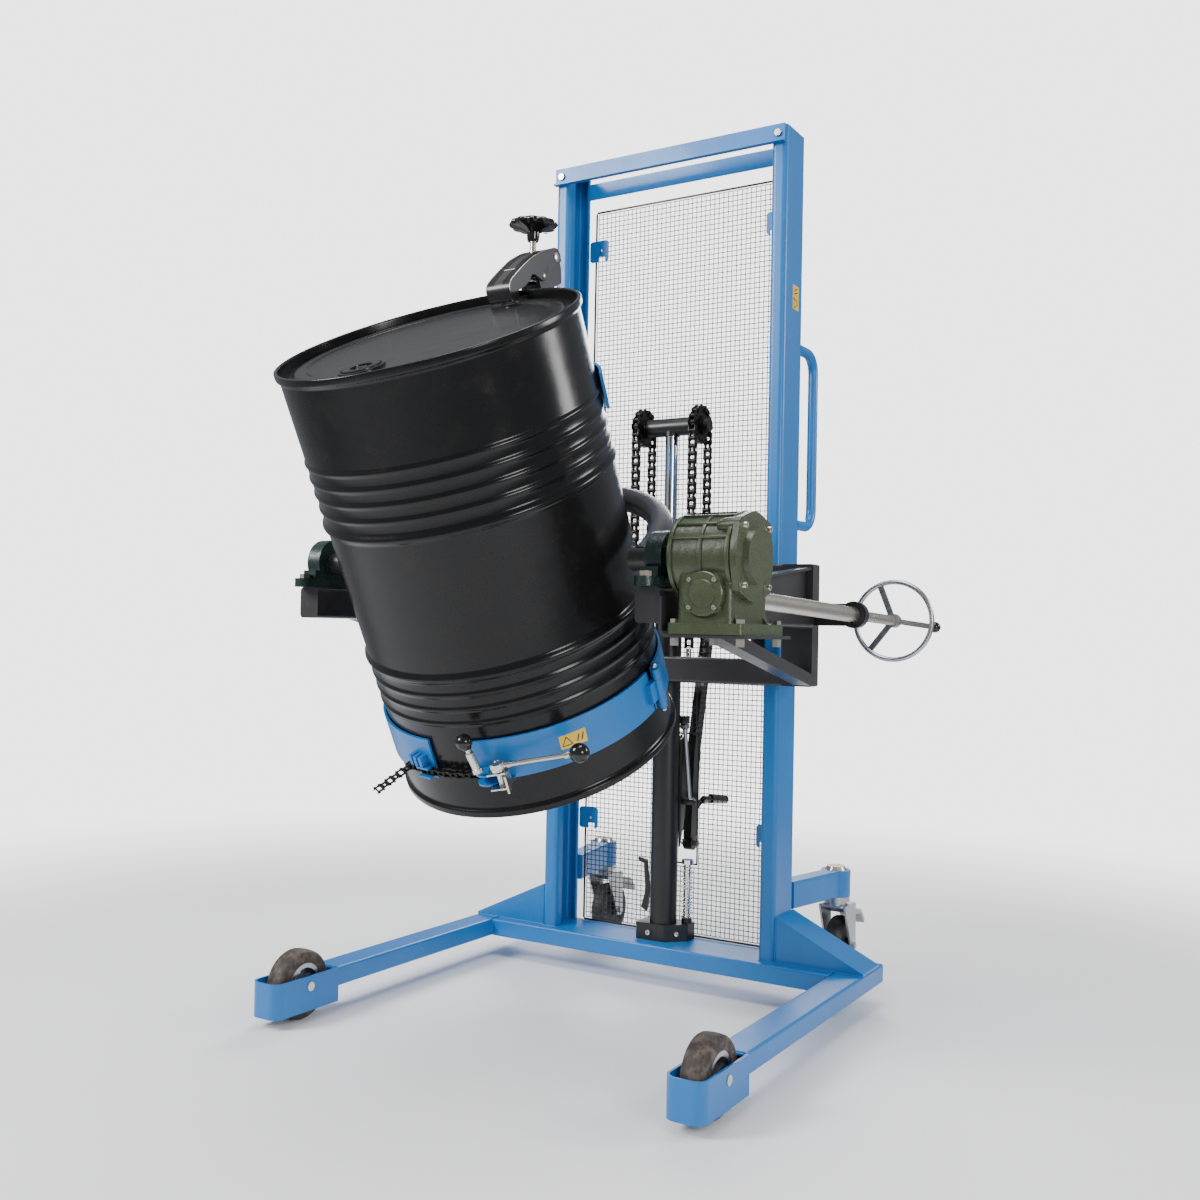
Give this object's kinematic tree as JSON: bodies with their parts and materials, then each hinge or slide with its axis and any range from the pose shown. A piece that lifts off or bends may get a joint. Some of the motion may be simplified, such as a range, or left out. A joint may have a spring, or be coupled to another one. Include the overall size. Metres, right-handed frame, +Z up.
{
  "type": "drum lifter and tilter",
  "caption": "Straddle-base stacker with a hydraulic mast, carriage arms and a worm-geared tilting clamp that holds a steel drum.",
  "frame": {"origin": "floor level under the centre of the bounding box, wheels standing on z = 0", "axes": "+Z up the mast, +X towards the gearbox and handwheel side, -Y forwards over the drum"},
  "size_m": [1.18, 1.6999, 2.084],
  "materials": {
    "blue_paint": "semi-gloss enamel",
    "dark_grey_paint": "satin enamel",
    "black_paint": "satin enamel",
    "black_mesh": "coated wire",
    "black_chain": "oiled black steel",
    "drum_black": "gloss enamel",
    "gearbox_green": "painted casting",
    "bearing_green": "painted casting",
    "chrome": "polished",
    "zinc": "zinc plated",
    "silver_metal": "polished casting",
    "black_plastic": "gloss",
    "tyre_rubber": "worn",
    "caster_tyre": "matt",
    "caster_steel": "zinc plated",
    "pedal_grey": "light grey enamel",
    "roller_steel": "turned"
  },
  "bodies": {
    "chassis": {"base_frame": "blue_paint", "wheel_forks": "blue_paint", "gusset_braces": "blue_paint", "mast_columns": "blue_paint", "mast_bars": "blue_paint", "guard_mesh": "black_mesh", "push_handles": "blue_paint", "caster_arms": "blue_paint", "pump_block": "black_paint", "lift_cylinder": "black_paint", "lift_chains_rear": "black_chain", "plunger_spring": "chrome", "chassis_fasteners": "zinc"},
    "front_wheel_left": {"front_tyre_left": "tyre_rubber", "front_hub_left": "silver_metal"},
    "front_wheel_right": {"front_tyre_right": "tyre_rubber", "front_hub_right": "silver_metal"},
    "caster_left": {"caster_fork_left": "caster_steel"},
    "caster_roller_left": {"caster_wheel_left": "caster_tyre"},
    "caster_brake_left": {"caster_pedal_left": "pedal_grey"},
    "caster_right": {"caster_fork_right": "caster_steel"},
    "caster_roller_right": {"caster_wheel_right": "caster_tyre"},
    "caster_brake_right": {"caster_pedal_right": "pedal_grey"},
    "ram": {"ram_rod": "chrome", "crosshead": "black_paint", "lift_chains_front": "black_chain"},
    "sprocket_pair": {"sprockets": "black_chain"},
    "carriage": {"carriage_frame": "dark_grey_paint", "carriage_arms": "dark_grey_paint", "arm_braces": "dark_grey_paint", "pillow_blocks": "bearing_green", "gearbox_shelf": "dark_grey_paint", "gearbox_case": "gearbox_green", "gearbox_covers": "gearbox_green", "shaft_support": "black_paint", "carriage_fasteners": "zinc"},
    "upper_roller_pair": {"upper_rollers": "roller_steel"},
    "lower_roller_pair": {"lower_rollers": "roller_steel"},
    "hand_shaft": {"worm_shaft": "zinc", "handwheel": "silver_metal"},
    "knob": {"crank_knob": "black_plastic"},
    "cradle": {"yoke": "dark_grey_paint", "worm_wheel": "roller_steel", "backbone": "dark_grey_paint", "rear_clamps": "blue_paint", "drum_shell": "drum_black"},
    "jaw_left": {"clamp_jaw_left": "blue_paint", "tension_chain": "black_chain"},
    "jaw_right": {"clamp_jaw_right": "blue_paint", "ratchet_bracket": "zinc"},
    "lever": {"ratchet_lever": "zinc"},
    "pawl": {"pawl_lever": "zinc"},
    "rim_post": {"hook_post": "dark_grey_paint"},
    "rim_hook": {"hook_arm": "dark_grey_paint"},
    "bolt": {"swing_bolt": "zinc"},
    "star": {"star_nut": "black_plastic"},
    "plunger": {"pump_plunger": "chrome"},
    "tiller_arm": {"tiller": "black_paint"},
    "pedal": {"foot_pedal": "black_paint"},
    "release": {"release_lever": "black_paint"}
  },
  "joints": [
    {"name": "front_wheel_left_roll", "type": "hinge", "parent": "chassis", "child": "front_wheel_left", "pos_m": [-0.54804, -0.34796, 0.076], "axis": [1, 0, 0], "continuous": true},
    {"name": "front_wheel_right_roll", "type": "hinge", "parent": "chassis", "child": "front_wheel_right", "pos_m": [0.46196, -0.34796, 0.076], "axis": [1, 0, 0], "continuous": true},
    {"name": "caster_left_swivel", "type": "hinge", "parent": "chassis", "child": "caster_left", "pos_m": [-0.39104, 0.70804, 0.2], "axis": [0, 0, 1], "continuous": true},
    {"name": "caster_left_roll", "type": "hinge", "parent": "caster_left", "child": "caster_roller_left", "pos_m": [-0.39104, 0.74604, 0.072], "axis": [1, 0, 0], "continuous": true},
    {"name": "caster_left_brake", "type": "hinge", "parent": "caster_left", "child": "caster_brake_left", "pos_m": [-0.39104, 0.75204, 0.158], "axis": [1, 0, 0], "range_deg": [-10, 0]},
    {"name": "caster_right_swivel", "type": "hinge", "parent": "chassis", "child": "caster_right", "pos_m": [0.30496, 0.70804, 0.2], "axis": [0, 0, 1], "continuous": true},
    {"name": "caster_right_roll", "type": "hinge", "parent": "caster_right", "child": "caster_roller_right", "pos_m": [0.30496, 0.74604, 0.072], "axis": [1, 0, 0], "continuous": true},
    {"name": "caster_right_brake", "type": "hinge", "parent": "caster_right", "child": "caster_brake_right", "pos_m": [0.30496, 0.75204, 0.158], "axis": [1, 0, 0], "range_deg": [-10, 0]},
    {"name": "ram_lift", "type": "slide", "parent": "chassis", "child": "ram", "axis": [0, 0, 1], "range_m": [-0.245, 0.45], "deforming": ["lift_chains_rear"]},
    {"name": "sprocket_turn", "type": "hinge", "parent": "ram", "child": "sprocket_pair", "pos_m": [-0.04304, 0.42304, 1.391], "axis": [1, 0, 0], "range_deg": [-610, 335]},
    {"name": "carriage_lift", "type": "slide", "parent": "ram", "child": "carriage", "axis": [0, 0, 1], "range_m": [-0.245, 0.45], "deforming": ["lift_chains_front"]},
    {"name": "upper_rollers_turn", "type": "hinge", "parent": "carriage", "child": "upper_roller_pair", "pos_m": [-0.04304, 0.42104, 0.985], "axis": [1, 0, 0], "range_deg": [-560, 1030]},
    {"name": "lower_rollers_turn", "type": "hinge", "parent": "carriage", "child": "lower_roller_pair", "pos_m": [-0.04304, 0.42104, 0.805], "axis": [1, 0, 0], "range_deg": [-1030, 560]},
    {"name": "drum_tilt", "type": "hinge", "parent": "carriage", "child": "cradle", "pos_m": [-0.04304, -0.37496, 1.006], "axis": [1, 0, 0], "range_deg": [-27.5, 107.5]},
    {"name": "handwheel_turn", "type": "hinge", "parent": "carriage", "child": "hand_shaft", "pos_m": [0.48396, -0.37496, 0.939], "axis": [0, 0.9995, -0.0311], "range_deg": [-830, 3230]},
    {"name": "knob_spin", "type": "hinge", "parent": "hand_shaft", "child": "knob", "pos_m": [0.57704, 0.58717, 0.89601], "axis": [0, 0.9995, -0.0311], "continuous": true},
    {"name": "jaw_left_open", "type": "hinge", "parent": "cradle", "child": "jaw_left", "pos_m": [-0.3263, -0.35615, 1.01579], "axis": [0, -0.4617, 0.887], "range_deg": [-40, 0]},
    {"name": "jaw_right_open", "type": "hinge", "parent": "cradle", "child": "jaw_right", "pos_m": [0.28022, -0.35615, 1.01579], "axis": [0, -0.4617, 0.887], "range_deg": [0, 30]},
    {"name": "ratchet_lever_turn", "type": "hinge", "parent": "jaw_right", "child": "lever", "pos_m": [0.09758, -0.50956, 0.61801], "axis": [0, -0.4617, 0.887], "range_deg": [-90, 0]},
    {"name": "pawl_lever_tip", "type": "hinge", "parent": "jaw_right", "child": "pawl", "pos_m": [0.06461, -0.52418, 0.60814], "axis": [0.9636, 0.237, 0.1234], "range_deg": [0, 30]},
    {"name": "rim_post_slide", "type": "slide", "parent": "cradle", "child": "rim_post", "axis": [0, -0.4617, 0.887], "range_m": [0, 0.12]},
    {"name": "hook_arm_lift", "type": "hinge", "parent": "rim_post", "child": "rim_hook", "pos_m": [-0.02304, -0.20305, 1.65467], "axis": [1, 0, 0], "range_deg": [-12, 0]},
    {"name": "swing_bolt_pivot", "type": "hinge", "parent": "rim_post", "child": "bolt", "pos_m": [-0.02304, -0.24874, 1.60383], "axis": [1, 0, 0], "range_deg": [-13, 0.5]},
    {"name": "star_turn", "type": "hinge", "parent": "bolt", "child": "star", "pos_m": [-0.02304, -0.24874, 1.60383], "axis": [0, 0, 1], "range_deg": [-1090, 10]},
    {"name": "plunger_stroke", "type": "slide", "parent": "chassis", "child": "plunger", "axis": [0, 0, 1], "range_m": [-0.0305, 0.0005], "deforming": ["plunger_spring"]},
    {"name": "tiller_pump", "type": "hinge", "parent": "chassis", "child": "tiller_arm", "pos_m": [-0.01704, 0.51304, 0.33], "axis": [1, 0, 0], "range_deg": [-40, 0], "stiffness_Nm_per_rad": 30, "springref_deg": 17.19},
    {"name": "foot_pedal_press", "type": "hinge", "parent": "chassis", "child": "pedal", "pos_m": [0.01896, 0.51304, 0.446], "axis": [1, 0, 0], "range_deg": [-20, 0], "stiffness_Nm_per_rad": 3, "springref_deg": 17.19},
    {"name": "release_press", "type": "hinge", "parent": "chassis", "child": "release", "pos_m": [-0.09304, 0.42904, 0.164], "axis": [0, 1, 0], "range_deg": [-15, 0], "stiffness_Nm_per_rad": 0.5, "springref_deg": 17.19}
  ],
  "couplings": [
    {"joint": "sprocket_turn", "follows": "ram_lift", "rad_per_m": -23.36},
    {"joint": "carriage_lift", "follows": "ram_lift", "ratio": 1},
    {"joint": "upper_rollers_turn", "follows": "ram_lift", "rad_per_m": 39.2},
    {"joint": "lower_rollers_turn", "follows": "ram_lift", "rad_per_m": -39.2},
    {"joint": "handwheel_turn", "follows": "drum_tilt", "ratio": 30},
    {"joint": "swing_bolt_pivot", "follows": "hook_arm_lift", "ratio": 1},
    {"joint": "star_turn", "follows": "hook_arm_lift", "ratio": 90},
    {"joint": "plunger_stroke", "follows": "tiller_pump", "m_per_rad": 0.043}
  ]
}
